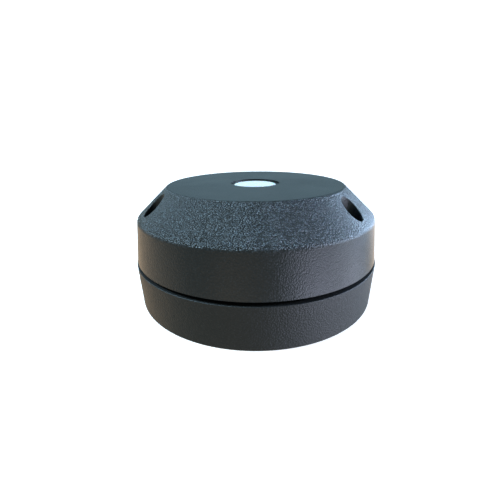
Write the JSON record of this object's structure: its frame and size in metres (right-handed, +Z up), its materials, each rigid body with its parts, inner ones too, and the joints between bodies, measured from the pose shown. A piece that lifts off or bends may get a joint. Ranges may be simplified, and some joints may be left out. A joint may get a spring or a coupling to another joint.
{
  "type": "ambient light sensor puck",
  "caption": "Round black sensor puck made of a cover and a base, with a conical shoulder, a small white diffuser window in its flat top and recessed cover screws.",
  "frame": {"origin": "centre of the flat underside", "axes": "+Z up through the window, +Y towards the rear screw, X across the two front screws"},
  "size_m": [0.0806, 0.0806, 0.0368],
  "materials": {
    "abs_black": "moulded with a coarse spark-eroded grain",
    "abs_black_base": "moulded with a fine grain",
    "opal": "smooth opal",
    "acrylic": "polished clear acrylic",
    "rubber_black": "moulded",
    "rubber_seal": "moulded",
    "steel": "turned stainless steel",
    "nickel": "nickel plated spring steel",
    "brass": "turned and knurled",
    "nylon_black": "moulded nylon",
    "nylon_grey": "moulded nylon",
    "fr4": "green solder mask",
    "module_board": "blue solder mask",
    "tin": "tin plated steel",
    "epoxy": "moulded epoxy",
    "ceramic": "fired, unglazed",
    "alu": "drawn aluminium can",
    "cell_sleeve": "shrink sleeve",
    "button_white": "moulded",
    "membrane": "expanded PTFE film"
  },
  "bodies": {
    "base": {"base_shell": "abs_black_base", "main_gasket": "rubber_black", "base_inserts": "brass", "tripod_insert": "brass", "breather_membrane": "membrane", "main_board": "fr4", "board_screws": "steel", "light_sensor": "epoxy", "guide_boot": "rubber_black", "radio_module": "module_board", "radio_shield": "tin", "chip_antenna": "ceramic", "controller_chip": "epoxy", "reservoir_capacitor": "alu", "program_header": "nylon_black", "reset_button_body": "nylon_black", "power_switch_body": "tin", "battery_holder": "nylon_black", "battery_cell": "cell_sleeve", "battery_contact_positive": "nickel", "battery_contact_negative": "nickel"},
    "cover": {"top_cover": "abs_black", "light_diffuser": "opal", "diffuser_seal": "rubber_seal", "diffuser_retainer": "nylon_black", "light_guide": "acrylic"},
    "seal_rear": {"screw_seal_rear": "rubber_seal"},
    "screw_rear": {"cover_screw_rear": "steel"},
    "seal_left": {"screw_seal_left": "rubber_seal"},
    "screw_left": {"cover_screw_left": "steel"},
    "seal_right": {"screw_seal_right": "rubber_seal"},
    "screw_right": {"cover_screw_right": "steel"},
    "reset_cap": {"reset_button_cap": "button_white"},
    "power_knob": {"power_switch_knob": "nylon_grey"}
  },
  "joints": [
    {"name": "cover_lift", "type": "slide", "parent": "base", "child": "cover", "axis": [0, 0, 1], "range_m": [0, 0.04]},
    {"name": "screw_rear_rise", "type": "slide", "parent": "cover", "child": "seal_rear", "axis": [0, 0, 1], "range_m": [0, 0.0095]},
    {"name": "screw_rear_turn", "type": "hinge", "parent": "seal_rear", "child": "screw_rear", "pos_m": [0, 0.0331, 0.02], "axis": [0, 0, 1], "range_deg": [0, 6840.05]},
    {"name": "screw_left_rise", "type": "slide", "parent": "cover", "child": "seal_left", "axis": [0, 0, 1], "range_m": [0, 0.0095]},
    {"name": "screw_left_turn", "type": "hinge", "parent": "seal_left", "child": "screw_left", "pos_m": [-0.02866, -0.01655, 0.02], "axis": [0, 0, 1], "range_deg": [0, 6840.05]},
    {"name": "screw_right_rise", "type": "slide", "parent": "cover", "child": "seal_right", "axis": [0, 0, 1], "range_m": [0, 0.0095]},
    {"name": "screw_right_turn", "type": "hinge", "parent": "seal_right", "child": "screw_right", "pos_m": [0.02866, -0.01655, 0.02], "axis": [0, 0, 1], "range_deg": [0, 6840.05]},
    {"name": "reset_press", "type": "slide", "parent": "base", "child": "reset_cap", "axis": [0, 0, -1], "range_m": [0, 0.00025], "stiffness_N_per_m": 2400},
    {"name": "power_slide", "type": "slide", "parent": "base", "child": "power_knob", "axis": [0, 1, 0], "range_m": [0, 0.002]}
  ],
  "couplings": [
    {"joint": "screw_rear_turn", "follows": "screw_rear_rise", "rad_per_m": 12566},
    {"joint": "screw_left_turn", "follows": "screw_left_rise", "rad_per_m": 12566},
    {"joint": "screw_right_turn", "follows": "screw_right_rise", "rad_per_m": 12566}
  ]
}
